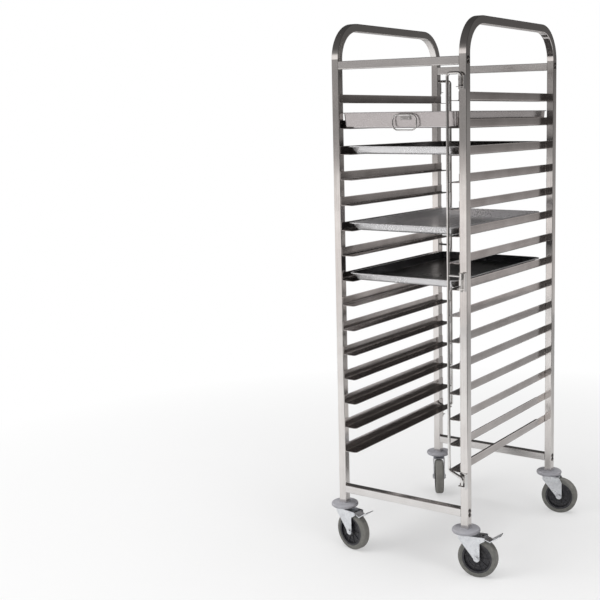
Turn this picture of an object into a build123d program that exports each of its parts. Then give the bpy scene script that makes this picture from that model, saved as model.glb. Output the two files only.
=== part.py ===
from build123d import *
import math
import os

# A tall rolling rack for baking trays, in millimetres.
# The origin is on the floor, midway between the four posts. +Z is up, the trays
# leave along -Y (the front), and +X is the right-hand side seen from the front.

# Overall frame
frame_width = 474.0  # over the outer faces of the posts
frame_depth = 652.0
tube = 25.0  # square tube of the posts and crossbars
tube_wall = 1.5
tube_edge = 2.0  # outer edge radius of the tube
hoop_radius = 115.0  # outer bend radius at the top of each hoop
hoop_straight = 6.0  # straight post above the top crossbars
top_bar_gap = 77.0  # top slides to the top crossbars
low_bar_gap = 48.0  # foot of the posts to the low crossbars

# Bolts that hold the crossbars between the hoops
bolt_radius = 3.0
bolt_head_radius = 5.5
bolt_head_height = 3.0
bolt_spacing = 13.0
bar_end_plate = 4.0  # thickness of the plate welded in each bar end
fit_clearance = 0.05  # radial clearance of pins and bolts in their holes

# Tiers of slides
tier_count = 15
tier_pitch = 80.0
lowest_tier = 325.0  # underside of the lowest slides
slide_height = 27.0
slide_thickness = 1.5
ledge_width = 43.0
ledge_corner = 10.0
slide_setback = 1.0  # slide end behind the outer face of the post

# Trays and the pan that stand on the slides
tray_side_gap = 12.5  # between the rim and the web of a slide
tray_end_gap = 32.0  # how much shorter than the frame is deep
tray_depth = 25.0
tray_slope = 15.0  # how far the base lies inside the rim
tray_corner = 30.0
tray_sheet = 1.5
tray_rim_width = 9.0
tray_rim_thickness = 3.0
tray_setback = 8.0  # front rim behind the front faces of the posts
tray_tiers = (3, 6, 8)
pan_side_gap = 2.5  # the pan fills nearly all the width between the webs
pan_end_gap = 12.0  # and nearly all the depth
pan_depth = 49.0
pan_slope = 4.0
pan_rim_width = 5.0
pan_corner = 14.0
pan_setback = 5.0
pan_tier = 2
rest_gap = 0.3  # between pieces that slide or turn past each other

# Drop handle on the front of the pan
handle_width = 84.0
handle_height = 46.0
handle_wire = 2.2  # wire radius
handle_corner = 18.0  # centre line radius of its corners
handle_offset = 25.0  # to the right of the pan's centre line
handle_drop = 9.0  # handle axis below the rim
clip_thickness = 1.5
clip_width = 36.0
clip_height = 15.0

# Latch rods that keep the trays in
rod_radius = 4.5
rod_arm = 45.0  # hinge axis to the long leg
rod_bend = 11.0  # centre line radius
rod_top_drop = 49.0  # top arm below the top of the top crossbar
rod_top_pin_length = 44.0
rod_bottom_rise = 6.0  # bottom arm above the lowest slides
rod_bottom_fall = 18.0  # how far the bottom arm slopes down to the hinge
rod_bottom_pin_length = 48.0
middle_tier = 8
rod_middle_rise = 46.0  # middle arm above the middle slides
middle_pin_length = 47.0
arm_step = 1.0  # how much thinner the middle arm is than the rod
sleeve_height = 20.0
sleeve_gap = 1.5  # sleeve to the back plate of its bracket

# Brackets that carry the latch rods
bracket_thickness = 2.0
bracket_overhang = 1.0  # how much wider than the post
ear_margin = 1.0  # metal left in front of the rod's hole
bracket_ear_lift = 6.0  # ear above the bottom of the bracket
top_bracket = (-47.0, -7.0)  # ends, measured from the rod's top arm
middle_bracket = (-45.0, 9.0)  # from its middle arm
bottom_bracket = (-51.0, -5.0)  # from its bottom arm
screw_radius = 2.0
screw_head_radius = 3.6
screw_head_height = 2.6
screw_inset = 4.5  # screws from the open edge of the bracket
screw_edge = 12.0  # screws from the ends of the bracket

# Casters
wheel_radius = 62.5
wheel_width = 30.0
tyre_thickness = 15.0
tyre_round = 8.0
axle_radius = 5.0
hub_boss_radius = 13.0
hub_boss_step = 2.0  # how far the boss stands out on each side of the tyre
hub_web = 16.0
hub_rim = 6.0
trail = 38.0  # swivel axis to wheel axle
fork_thickness = 2.5
fork_side_gap = 1.0
fork_plate = 3.0
fork_front = 20.0  # plate in front of the swivel axis
fork_end_radius = 10.0
wheel_top_gap = 3.7
head_height = 6.0
head_radius = 24.0
kingpin_radius = 6.0
kingpin_head_radius = 10.0
kingpin_head_height = 3.0
stem_length = 40.0
stem_clearance = 0.2
bumper_radius = 44.0
bumper_thickness = 12.0
axle_head_radius = 7.5
axle_head_height = 4.0
caster_angles = {"front_right": 11.0, "front_left": -11.0, "rear_right": 14.0, "rear_left": -58.0}
braked_casters = ("front_right", "front_left")

# Brake pedals on the front casters
ear_reach = 26.0  # wheel axle to the end of the fork's brake ears
pedal_pivot = (20.0, -1.5)  # behind the wheel axle, and above the underside of the fork plate
pedal_knee = (41.0, -9.5)
pedal_tip = (74.0, 12.0)
pedal_thickness = 2.5
pedal_side_gap = 1.5  # to the inside of the fork's ears
pedal_pin_radius = 2.0
pedal_barrel_radius = 3.0

# Positions that follow from the sizes above
post_x = frame_width / 2 - tube / 2
post_y = frame_depth / 2 - tube / 2
inner_x = frame_width / 2 - tube
bar_length = 2 * inner_x
axle_z = wheel_radius
plate_bottom = 2 * wheel_radius + wheel_top_gap
plate_top = plate_bottom + fork_plate
post_foot = plate_top + rest_gap + head_height
hub_boss_width = wheel_width + 2 * hub_boss_step
fork_gap = hub_boss_width / 2 + fork_side_gap  # inner face of each fork leg from the middle
pedal_width = 2 * (fork_gap - pedal_side_gap)
tray_width = 2 * (inner_x - slide_thickness - tray_side_gap)
tray_length = frame_depth - tray_end_gap
pan_width = 2 * (inner_x - slide_thickness - pan_side_gap)
pan_length = frame_depth - pan_end_gap
arm_radius = rod_radius - arm_step
sleeve_radius = 2 * arm_radius
rod_standoff = bracket_thickness + sleeve_gap + sleeve_radius  # hinge axis to the post's face
hinge_y = frame_depth / 2 + rod_standoff
bracket_width = tube + bracket_overhang
bracket_reach = rod_standoff + rod_radius + ear_margin


def tier_z(tier):
    """Underside of the slides of one tier, counted from the top."""
    return lowest_tier + tier_pitch * (tier_count - tier)


# Heights that follow from the tiers and the casters
low_bar_top = post_foot + low_bar_gap + tube
top_bar_top = tier_z(1) + slide_height + top_bar_gap + tube
rack_height = top_bar_top + hoop_straight + hoop_radius
rod_top = top_bar_top - rod_top_drop
rod_middle = tier_z(middle_tier) + rod_middle_rise
rod_bottom = lowest_tier + rod_bottom_rise
bracket_spans = (
    (rod_top + top_bracket[0], rod_top + top_bracket[1]),
    (rod_middle + middle_bracket[0], rod_middle + middle_bracket[1]),
    (rod_bottom + bottom_bracket[0], rod_bottom + bottom_bracket[1]),
)


def cylinder_along(axis, radius, start, length):
    """A cylinder from a start point along the X, Y or Z axis."""
    direction = {"x": (1, 0, 0), "y": (0, 1, 0), "z": (0, 0, 1)}[axis]
    return extrude(Plane(start, z_dir=direction) * Circle(radius), length)


def block(low, high):
    """A box between two corners."""
    size = [b - a for a, b in zip(low, high)]
    return Pos(*low) * Box(*size, align=(Align.MIN, Align.MIN, Align.MIN))


def square_tube_section():
    """Cross section of the square tube, centred on its axis."""
    inside = tube - 2 * tube_wall
    return RectangleRounded(tube, tube, tube_edge) - Rectangle(inside, inside)


def bolt_heights():
    """Heights of all the bolts in one post."""
    heights = []
    for bar_top in (top_bar_top, low_bar_top):
        middle = bar_top - tube / 2
        heights += [middle - bolt_spacing / 2, middle + bolt_spacing / 2]
    return heights


def make_hoop(side):
    """Two posts and the top bar, bent from one length of tube."""
    x = side * post_x
    top = rack_height - tube / 2
    corners = [(x, -post_y, post_foot), (x, -post_y, top), (x, post_y, top), (x, post_y, post_foot)]
    path = FilletPolyline(*corners, radius=hoop_radius - tube / 2)
    hoop = sweep(Plane(corners[0], z_dir=(0, 0, 1)) * square_tube_section(), path)
    for y in (-post_y, post_y):
        for z in bolt_heights():
            start = (x - tube, y, z)
            hoop -= cylinder_along("x", bolt_radius + fit_clearance, start, 2 * tube)
    return hoop


def make_crossbar(y, bar_top):
    """Square tube with an end plate at each end, tapped for two bolts."""
    z = bar_top - tube / 2
    section = Plane((-inner_x, y, z), z_dir=(1, 0, 0)) * square_tube_section()
    bar = extrude(section, bar_length)
    inside = tube / 2 - tube_wall
    for side in (-1, 1):
        outer = side * inner_x
        inner = side * (inner_x - bar_end_plate)
        low = (min(outer, inner), y - inside, z - inside)
        high = (max(outer, inner), y + inside, z + inside)
        bar += block(low, high)
    for offset in (-bolt_spacing / 2, bolt_spacing / 2):
        start = (-inner_x, y, z + offset)
        bar -= cylinder_along("x", bolt_radius + fit_clearance, start, bar_length)
    return bar


def make_frame_bolts():
    """Button-head bolts through the posts into the ends of the crossbars."""
    bolts = []
    head = extrude(Circle(bolt_head_radius), bolt_head_height)
    head = fillet(head.edges().group_by(Axis.Z)[-1], 0.6 * bolt_head_height)
    bolt = head + cylinder_along("z", bolt_radius, (0, 0, -tube - bar_end_plate), tube + bar_end_plate)
    for side in (-1, 1):
        for y in (-post_y, post_y):
            for z in bolt_heights():
                place = Plane((side * frame_width / 2, y, z), z_dir=(side, 0, 0))
                bolts.append(place * bolt)
    return Compound(children=bolts)


def make_slide(side):
    """One angle slide: a web against the posts and a ledge that carries a tray."""
    length = frame_depth - 2 * slide_setback
    web = block((0, -length / 2, 0), (slide_thickness, length / 2, slide_height))
    ledge = block((0, -length / 2, 0), (ledge_width, length / 2, slide_thickness))
    ledge = fillet(ledge.edges().filter_by(Axis.Z).group_by(Axis.X)[-1], ledge_corner)
    slide = web + ledge
    if side > 0:
        slide = mirror(slide, Plane.YZ)
    return Pos(side * inner_x, 0, 0) * slide


def make_slide_pair(tier):
    """Both slides of one tier."""
    height = tier_z(tier)
    return Compound(children=[Pos(0, 0, height) * make_slide(side) for side in (-1, 1)])


def make_dish(width, length, depth, slope, corner, rim_width):
    """An open sheet dish with sloping walls and a flat rim, standing on Z 0."""
    mouth_size = (width - 2 * rim_width, length - 2 * rim_width)
    base_size = [side - 2 * slope for side in mouth_size]
    base_corner = max(corner - rim_width - slope / 2, 4 * tray_sheet)
    mouth_corner = max(corner - rim_width, 4 * tray_sheet)
    rim = Pos(0, 0, depth - tray_rim_thickness) * extrude(
        RectangleRounded(width, length, corner), tray_rim_thickness
    )
    rim = fillet(rim.edges().group_by(Axis.Z)[-1], 0.4 * tray_rim_thickness)
    outside = loft([
        RectangleRounded(*base_size, base_corner),
        Pos(0, 0, depth) * RectangleRounded(*mouth_size, mouth_corner),
    ])
    inside = loft([
        Pos(0, 0, tray_sheet)
        * RectangleRounded(*[s - 2 * tray_sheet for s in base_size], base_corner - tray_sheet),
        Pos(0, 0, depth)
        * RectangleRounded(*[s - 2 * tray_sheet for s in mouth_size], mouth_corner - tray_sheet),
    ])
    return outside + rim - inside


def place_on_tier(dish, length, tier, setback):
    """Stand a dish on the ledges of a tier, its front rim behind the front of the posts."""
    y = -frame_depth / 2 + setback + length / 2
    return Pos(0, y, tier_z(tier) + slide_thickness + rest_gap) * dish


def make_tray(tier):
    """Shallow baking tray on its tier."""
    dish = make_dish(
        tray_width, tray_length, tray_depth, tray_slope, tray_corner, tray_rim_width
    )
    return place_on_tier(dish, tray_length, tier, tray_setback)


def make_pan():
    """Deeper pan with steep walls on its tier."""
    dish = make_dish(pan_width, pan_length, pan_depth, pan_slope, pan_corner, pan_rim_width)
    return place_on_tier(dish, pan_length, pan_tier, pan_setback)


def handle_axis():
    """The point where the drop handle hangs, in front of the pan's wall."""
    rim_top = tier_z(pan_tier) + slide_thickness + rest_gap + pan_depth
    rim_front = -frame_depth / 2 + pan_setback
    return (handle_offset, rim_front - handle_wire - clip_thickness / 2, rim_top - handle_drop)


def make_handle():
    """Closed wire ring with rounded corners that hangs from its straight top."""
    x, y, z = handle_axis()
    left = x - handle_width / 2
    right = x + handle_width / 2
    corners = [(right, y, z), (right, y, z - handle_height), (left, y, z - handle_height), (left, y, z)]
    path = FilletPolyline(*corners, radius=handle_corner, close=True)
    return sweep((path ^ 0) * Circle(handle_wire), path)


def make_handle_clip():
    """Strap that wraps the top of the handle and lies against the pan's wall."""
    x, y, z = handle_axis()
    wrap = handle_wire + fit_clearance
    left = x - clip_width / 2
    right = x + clip_width / 2
    top = z + wrap + clip_thickness
    wall = -frame_depth / 2 + pan_setback + pan_rim_width
    inside = wall + pan_slope
    strap = cylinder_along("x", wrap + clip_thickness, (left, y, z), clip_width)
    strap += block((left, y, top - clip_thickness), (right, inside, top))
    strap += block((left, wall - clip_thickness, z - clip_height), (right, inside, top))
    strap -= cylinder_along("x", wrap, (left, y, z), clip_width)
    strap -= make_pan()
    return strap.solids().sort_by(Axis.Y)[0]


def make_rod():
    """Long latch rod at the front right, with a pin bent down at each end."""
    lower = rod_bottom - rod_bottom_fall
    corners = [
        (post_x, -hinge_y, rod_top - rod_top_pin_length),
        (post_x, -hinge_y, rod_top),
        (post_x - rod_arm, -hinge_y, rod_top),
        (post_x - rod_arm, -hinge_y, rod_bottom),
        (post_x, -hinge_y, lower),
        (post_x, -hinge_y, rod_bottom - rod_bottom_pin_length),
    ]
    path = FilletPolyline(*corners, radius=rod_bend)
    return sweep(Plane(corners[0], z_dir=(0, 0, 1)) * Circle(rod_radius), path)


def make_rod_arm():
    """Middle arm of a latch rod, with its sleeve and pin on the hinge axis."""
    leg = cylinder_along("z", rod_radius, (post_x - rod_arm, -hinge_y, rod_middle - tube), 2 * tube)
    arm = cylinder_along("x", arm_radius, (post_x - rod_arm, -hinge_y, rod_middle), rod_arm) - leg
    sleeve = cylinder_along(
        "z", sleeve_radius, (post_x, -hinge_y, rod_middle - sleeve_height / 2), sleeve_height
    )
    sleeve = chamfer(sleeve.edges(), 1.0)
    pin_end = (post_x, -hinge_y, rod_middle - middle_pin_length)
    pin = cylinder_along("z", arm_radius, pin_end, middle_pin_length)
    return arm + sleeve + pin


def bracket_pin_radius(span):
    """Radius of the rod's pin that a bracket carries."""
    low, high = span
    return arm_radius if low < rod_middle < high else rod_radius


def bracket_plate_left():
    """X of the bracket's open edge."""
    return frame_width / 2 - bracket_width


def make_bracket(span):
    """Folded bracket on the front right post: back plate, side flange and drilled ear."""
    low, high = span
    front = -frame_depth / 2
    right = frame_width / 2
    left = bracket_plate_left()
    bracket = block((left, front - bracket_thickness, low), (right, front, high))
    bracket += block((right - bracket_thickness, front - bracket_reach, low), (right, front, high))
    ear_low = low + bracket_ear_lift
    ear_front = front - bracket_reach
    bracket += block((left, ear_front, ear_low), (right, front, ear_low + bracket_thickness))
    hole = bracket_pin_radius(span) + fit_clearance
    bracket -= cylinder_along("z", hole, (post_x, -hinge_y, low), high - low)
    for z in (low + screw_edge, high - screw_edge):
        start = (left + screw_inset, front - bracket_thickness, z)
        bracket -= cylinder_along("y", screw_radius, start, bracket_thickness)
    return bracket


def make_bracket_screws(span):
    """The two screws of one bracket, their heads in front of its back plate."""
    low, high = span
    front = -frame_depth / 2
    screws = []
    for z in (low + screw_edge, high - screw_edge):
        x = bracket_plate_left() + screw_inset
        face = front - bracket_thickness
        head = extrude(
            Plane((x, face, z), z_dir=(0, -1, 0)) * RegularPolygon(screw_head_radius, 6),
            screw_head_height,
        )
        screws.append(head + cylinder_along("y", screw_radius, (x, face, z), bracket_thickness))
    return screws


def turned_copies(solids):
    """The solids and their copies half a turn about the rack's middle."""
    return Compound(children=list(solids) + [Rot(0, 0, 180) * solid for solid in solids])


def make_bumper(x, y):
    """Soft ring around the foot of a post."""
    ring = extrude(Circle(bumper_radius), bumper_thickness)
    ring = fillet(ring.edges(), 0.45 * bumper_thickness)
    ring -= Box(tube, tube, 4 * bumper_thickness)
    return Pos(x, y, post_foot) * ring


def make_caster_head(x, y):
    """Fixed half of the swivel, with its stem in the post and the kingpin below."""
    inside = tube - 2 * tube_wall - 2 * stem_clearance
    head = cylinder_along("z", head_radius, (0, 0, plate_top + rest_gap), head_height)
    head = fillet(head.edges().group_by(Axis.Z)[0], 0.4 * head_height)
    stem = block((-inside / 2, -inside / 2, post_foot), (inside / 2, inside / 2, post_foot + stem_length))
    pin = cylinder_along("z", kingpin_radius, (0, 0, plate_bottom - rest_gap), fork_plate + 2 * rest_gap)
    rivet_low = plate_bottom - rest_gap - kingpin_head_height
    rivet = cylinder_along("z", kingpin_head_radius, (0, 0, rivet_low), kingpin_head_height)
    return Pos(x, y, 0) * (head + stem + pin + rivet)


def fork_outline(braked):
    """Side view of a fork leg, X along the trail and Y up."""
    shoulder = plate_top - 2 * fork_end_radius
    back = trail + fork_end_radius
    points = [
        (-fork_front, plate_top),
        (-fork_front, plate_top - fork_end_radius),
        (trail - fork_end_radius, axle_z),
        (back, axle_z),
        (back, shoulder),
    ]
    if braked:
        ear_end = trail + ear_reach
        points += [(ear_end, shoulder + fork_end_radius), (ear_end, plate_top)]
    else:
        points += [(trail, plate_top)]
    leg = make_face(Polyline(*points, close=True))
    return leg + Pos(trail, axle_z) * Circle(fork_end_radius)


def make_fork(braked):
    """Pressed fork: a plate over the wheel and two tapering legs."""
    outer = fork_gap + fork_thickness
    fork = extrude(Plane.XZ * fork_outline(braked), outer, both=True)
    fork -= block((-2 * trail, -fork_gap, 0), (4 * trail, fork_gap, plate_bottom))
    fork -= cylinder_along("z", kingpin_radius + fit_clearance, (0, 0, plate_bottom), fork_plate)
    fork -= cylinder_along("y", axle_radius + fit_clearance, (trail, -2 * outer, axle_z), 4 * outer)
    if braked:
        pivot_x, pivot_z = pedal_point(pedal_pivot)
        room = pivot_x - 2 * pedal_barrel_radius
        fork -= block((room, -fork_gap, plate_bottom), (4 * trail, fork_gap, plate_top))
        hole = pedal_pin_radius + fit_clearance
        fork -= cylinder_along("y", hole, (pivot_x, -2 * outer, pivot_z), 4 * outer)
    return fork


def make_axle():
    """Axle bolt with a hexagon head and nut outside the fork legs."""
    outer = fork_gap + fork_thickness
    axle = cylinder_along("y", axle_radius, (trail, -outer, axle_z), 2 * outer)
    for side in (-1, 1):
        face = Plane((trail, side * outer, axle_z), z_dir=(0, side, 0))
        axle += extrude(face * RegularPolygon(axle_head_radius, 6), axle_head_height)
    return axle


def make_tyre():
    """Solid tyre with rounded shoulders."""
    inner = wheel_radius - tyre_thickness
    half = wheel_width / 2
    section = Pos((inner + wheel_radius) / 2, 0) * Rectangle(tyre_thickness, wheel_width)
    section = fillet(section.vertices().group_by(Axis.X)[-1], min(tyre_round, 0.9 * half))
    return Pos(trail, 0, axle_z) * revolve(section, Axis.Y)


def make_hub():
    """Hub disc with a boss, a recessed web and a rim inside the tyre."""
    outer = wheel_radius - tyre_thickness
    bore = axle_radius + fit_clearance
    solid = cylinder_along("y", outer, (0, -wheel_width / 2, 0), wheel_width)
    recess = (wheel_width - hub_web) / 2
    for low in (-wheel_width / 2, wheel_width / 2 - recess):
        ring = cylinder_along("y", outer - hub_rim, (0, low, 0), recess)
        ring -= cylinder_along("y", hub_boss_radius, (0, low, 0), recess)
        solid -= ring
    solid += cylinder_along("y", hub_boss_radius, (0, -hub_boss_width / 2, 0), hub_boss_width)
    solid -= cylinder_along("y", bore, (0, -hub_boss_width, 0), 2 * hub_boss_width)
    return Pos(trail, 0, axle_z) * solid


def pedal_point(point):
    """A point of the brake pedal, along the trail from the swivel axis and above the floor."""
    behind, above = point
    return (trail + behind, plate_bottom + above)


def make_pedal():
    """Bent brake pedal with a pivot pin between the ears of the fork."""
    points = [pedal_point(p) for p in (pedal_pivot, pedal_knee, pedal_tip)]
    pedal = None
    for (x0, z0), (x1, z1) in zip(points, points[1:]):
        length = math.hypot(x1 - x0, z1 - z0)
        tilt = math.degrees(math.atan2(z1 - z0, x1 - x0))
        strip = Box(length, pedal_width, pedal_thickness, align=(Align.MIN, Align.CENTER, Align.CENTER))
        strip = Pos(x0, 0, z0) * Rot(0, -tilt, 0) * strip
        pedal = strip if pedal is None else pedal + strip
    knee_x, knee_z = points[1]
    pedal += cylinder_along("y", pedal_thickness / 2, (knee_x, -pedal_width / 2, knee_z), pedal_width)
    pivot_x, pivot_z = points[0]
    pedal += cylinder_along("y", pedal_barrel_radius, (pivot_x, -pedal_width / 2, pivot_z), pedal_width)
    outer = fork_gap + fork_thickness
    return pedal + cylinder_along("y", pedal_pin_radius, (pivot_x, -outer, pivot_z), 2 * outer)


def corner_position(corner):
    """Centre of the post at a corner such as front_left."""
    x = post_x if corner.endswith("right") else -post_x
    y = -post_y if corner.startswith("front") else post_y
    return x, y


def make_caster(corner):
    """All the pieces of the caster at one corner, swivelled to its resting angle."""
    x, y = corner_position(corner)
    place = Pos(x, y, 0) * Rot(0, 0, caster_angles[corner])
    braked = corner in braked_casters
    pieces = {
        "bumper": make_bumper(x, y),
        "caster_head": make_caster_head(x, y),
        "caster_fork": place * make_fork(braked),
        "wheel_axle": place * make_axle(),
        "wheel_tyre": place * make_tyre(),
        "wheel_hub": place * make_hub(),
    }
    if braked:
        pieces["brake_pedal"] = place * make_pedal()
    return {f"{name}_{corner}": piece for name, piece in pieces.items()}


def make_rack():
    """Every node of the rack, by name."""
    nodes = {
        "hoop_left": make_hoop(-1),
        "hoop_right": make_hoop(1),
        "crossbar_top_front": make_crossbar(-post_y, top_bar_top),
        "crossbar_top_rear": make_crossbar(post_y, top_bar_top),
        "crossbar_low_front": make_crossbar(-post_y, low_bar_top),
        "crossbar_low_rear": make_crossbar(post_y, low_bar_top),
        "frame_bolts": make_frame_bolts(),
        "pan": make_pan(),
        "pan_handle": make_handle(),
        "pan_handle_clip": make_handle_clip(),
        "latch_rod_front": make_rod(),
        "latch_rod_rear": Rot(0, 0, 180) * make_rod(),
        "latch_arm_front": make_rod_arm(),
        "latch_arm_rear": Rot(0, 0, 180) * make_rod_arm(),
    }
    for tier in range(1, tier_count + 1):
        nodes[f"slides_tier_{tier:02d}"] = make_slide_pair(tier)
    for tier in tray_tiers:
        nodes[f"tray_tier_{tier:02d}"] = make_tray(tier)
    brackets = [make_bracket(span) for span in bracket_spans]
    screws = [screw for span in bracket_spans for screw in make_bracket_screws(span)]
    nodes["latch_brackets"] = turned_copies(brackets)
    nodes["latch_bracket_screws"] = turned_copies(screws)
    for corner in caster_angles:
        nodes.update(make_caster(corner))
    return nodes


os.makedirs("parts", exist_ok=True)
for node_name, node_shape in make_rack().items():
    export_step(node_shape, f"parts/{node_name}.step")
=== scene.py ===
import math

import bmesh
import bpy
from mathutils import Matrix, Vector


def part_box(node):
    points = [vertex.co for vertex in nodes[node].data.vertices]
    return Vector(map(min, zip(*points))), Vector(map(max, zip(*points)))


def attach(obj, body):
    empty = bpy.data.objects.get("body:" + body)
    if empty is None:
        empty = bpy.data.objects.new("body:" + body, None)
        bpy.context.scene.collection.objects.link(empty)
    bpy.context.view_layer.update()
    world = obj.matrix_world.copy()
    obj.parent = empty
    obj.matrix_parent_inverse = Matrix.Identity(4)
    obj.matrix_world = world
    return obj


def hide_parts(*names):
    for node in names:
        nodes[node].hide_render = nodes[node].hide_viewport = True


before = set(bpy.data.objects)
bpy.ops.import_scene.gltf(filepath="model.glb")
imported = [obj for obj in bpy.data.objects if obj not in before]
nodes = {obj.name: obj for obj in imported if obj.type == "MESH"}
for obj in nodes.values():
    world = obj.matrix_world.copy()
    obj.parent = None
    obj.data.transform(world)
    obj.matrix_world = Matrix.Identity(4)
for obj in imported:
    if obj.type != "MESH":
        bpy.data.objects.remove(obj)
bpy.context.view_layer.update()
print("frame loaded with", len(nodes), "nodes")

corners = ("front_right", "front_left", "rear_right", "rear_left")
brakedCorners = ("front_right", "front_left")
trayTiers = ("03", "06", "08")
allTiers = [f"{tier:02d}" for tier in range(1, 16)]


def addNode(tree, kind, values=None, **settings):
    # values may be plain numbers or other nodes' outputs
    node = tree.nodes.new("ShaderNode" + kind)
    for key, value in settings.items():
        setattr(node, key, value)
    for socket, value in (values or {}).items():
        if isinstance(value, bpy.types.NodeSocket):
            tree.links.new(value, node.inputs[socket])
        else:
            node.inputs[socket].default_value = value
    return node


def startMaterial(name, color, roughness, metallic=0.0):
    material = bpy.data.materials.new(name)
    material.use_nodes = True
    shader = material.node_tree.nodes["Principled BSDF"]
    shader.inputs["Base Color"].default_value = (*color, 1.0)
    shader.inputs["Roughness"].default_value = roughness
    shader.inputs["Metallic"].default_value = metallic
    return material, material.node_tree, shader


def objectPoint(tree):
    return addNode(tree, "TexCoord").outputs["Object"]


def grain(tree, scale, detail=4.0, shift=0.0):
    # noise stretched by a scale for each axis, so a small number makes long streaks along it
    moved = addNode(tree, "Mapping", {"Vector": objectPoint(tree), "Scale": scale, "Location": (shift,) * 3})
    noise = addNode(tree, "TexNoise", {"Vector": moved.outputs[0], "Scale": 1.0, "Detail": detail})
    return noise.outputs[0]


def combine(tree, operation, first, second):
    return addNode(tree, "Math", {0: first, 1: second}, operation=operation).outputs[0]


def spread(tree, value, low, high, fromLow=0.3, fromHigh=0.7):
    limits = {"From Min": fromLow, "From Max": fromHigh, "To Min": low, "To Max": high}
    return addNode(tree, "MapRange", {"Value": value, **limits}).outputs[0]


def blendColors(tree, factor, first, second, kind="MIX"):
    node = addNode(tree, "Mix", data_type="RGBA", blend_type=kind)
    for index, value in ((0, factor), (6, first), (7, second)):
        if isinstance(value, bpy.types.NodeSocket):
            tree.links.new(value, node.inputs[index])
        else:
            node.inputs[index].default_value = value if index == 0 else (*value, 1.0)
    return node.outputs[2]


def addBump(tree, shader, height, distance, strength=1.0):
    bump = addNode(tree, "Bump", {"Height": height, "Distance": distance, "Strength": strength})
    tree.links.new(bump.outputs[0], shader.inputs["Normal"])


def feed(tree, shader, **outputs):
    names = {"color": "Base Color", "roughness": "Roughness", "metallic": "Metallic"}
    for key, output in outputs.items():
        tree.links.new(output, shader.inputs[names[key]])


polish = {
    "tubeColor": (0.80, 0.775, 0.755),
    "tubeShade": (0.70, 0.665, 0.645),
    "tubeRoughness": (0.07, 0.17),
    "barColor": (0.83, 0.81, 0.80),
    "barShade": (0.73, 0.705, 0.69),
    "barRoughness": (0.11, 0.20),
    "rodColor": (0.88, 0.87, 0.86),
    "rodShade": (0.66, 0.64, 0.62),
    "rodRoughness": (0.08, 0.20),
    "bendHeight": 1.58,       # above this the hoop's tube turns to run front to back
    "bendBlend": 0.08,
    "streakFineness": 900.0,  # across the tube
    "streakLength": 9.0,      # along it
    "smudgeScale": 16.0,
    "bumpDepth": 0.00002,
}


def makePolishedSteel(name, color, shade, roughness, along):
    # along is the axis of the polishing streaks, or bent for the hoops
    material, tree, shader = startMaterial(name, color, roughness[0], 1.0)
    fine = polish["streakFineness"]
    slow = polish["streakLength"]
    scales = {"x": (slow, fine, fine), "y": (fine, slow, fine), "z": (fine, fine, slow)}
    if along == "bent":
        height = addNode(tree, "SeparateXYZ", {0: objectPoint(tree)}).outputs["Z"]
        top = polish["bendHeight"]
        turned = spread(tree, height, 0.0, 1.0, top, top + polish["bendBlend"])
        upright = grain(tree, scales["z"])
        level = grain(tree, scales["y"])
        streak = addNode(tree, "Mix", {0: turned, 2: upright, 3: level}).outputs[0]
    else:
        streak = grain(tree, scales[along])
    smudge = grain(tree, (polish["smudgeScale"],) * 3, 5.0, 3.7)
    worn = combine(tree, "MULTIPLY", streak, smudge)
    feed(
        tree, shader,
        color=blendColors(tree, spread(tree, worn, 0.0, 1.0, 0.15, 0.40), color, shade),
        roughness=spread(tree, worn, *roughness, 0.12, 0.42),
    )
    addBump(tree, shader, streak, polish["bumpDepth"], 0.5)
    return material


def makeSteel(name, kind, along):
    # kind is tube, bar or rod, as the finishes are named above
    color, shade, roughness = (polish[kind + part] for part in ("Color", "Shade", "Roughness"))
    return makePolishedSteel(name, color, shade, roughness, along)


slideFinish = {
    "color": (0.60, 0.565, 0.55),
    "shade": (0.46, 0.425, 0.41),
    # the edge tone lightens the rubbed scratches, and is also the painted highlight along each top edge
    "edge": (0.78, 0.72, 0.70),
    "roughness": (0.09, 0.20),
    "scratchFineness": 700.0,
    "scratchLength": 6.0,
    "cloudScale": 11.0,
    "highlightBand": 0.0022,       # painted highlight, the lighter band along the top edge of each slide
    "bumpDepth": 0.00004,
}


def makeSlideSteel():
    finish = slideFinish
    material, tree, shader = startMaterial("slideSteel", finish["color"], 0.3, 1.0)
    fine = finish["scratchFineness"]
    scratch = grain(tree, (fine, finish["scratchLength"], fine), 3.0)
    cloud = grain(tree, (finish["cloudScale"],) * 3, 6.0, 1.3)
    low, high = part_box("slides_tier_15")
    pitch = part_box("slides_tier_14")[0].z - low.z
    height = addNode(tree, "SeparateXYZ", {0: objectPoint(tree)}).outputs["Z"]
    inTier = combine(tree, "MODULO", combine(tree, "SUBTRACT", height, low.z - 0.001), pitch)
    web = high.z - low.z
    # painted highlight: the top of each web is blended into the lighter edge tone
    edge = spread(tree, inTier, 0.0, 1.0, web - finish["highlightBand"], web)
    worn = blendColors(tree, spread(tree, cloud, 0.0, 1.0), finish["color"], finish["shade"])
    rubbed = combine(tree, "MULTIPLY", spread(tree, scratch, 0.0, 1.0, 0.52, 0.72), 0.35)
    worn = blendColors(tree, rubbed, worn, finish["edge"])
    feed(
        tree, shader,
        color=blendColors(tree, edge, worn, finish["edge"]),
        roughness=spread(tree, combine(tree, "MULTIPLY", scratch, cloud), *finish["roughness"], 0.12, 0.4),
    )
    addBump(tree, shader, scratch, finish["bumpDepth"], 0.6)
    return material


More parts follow.
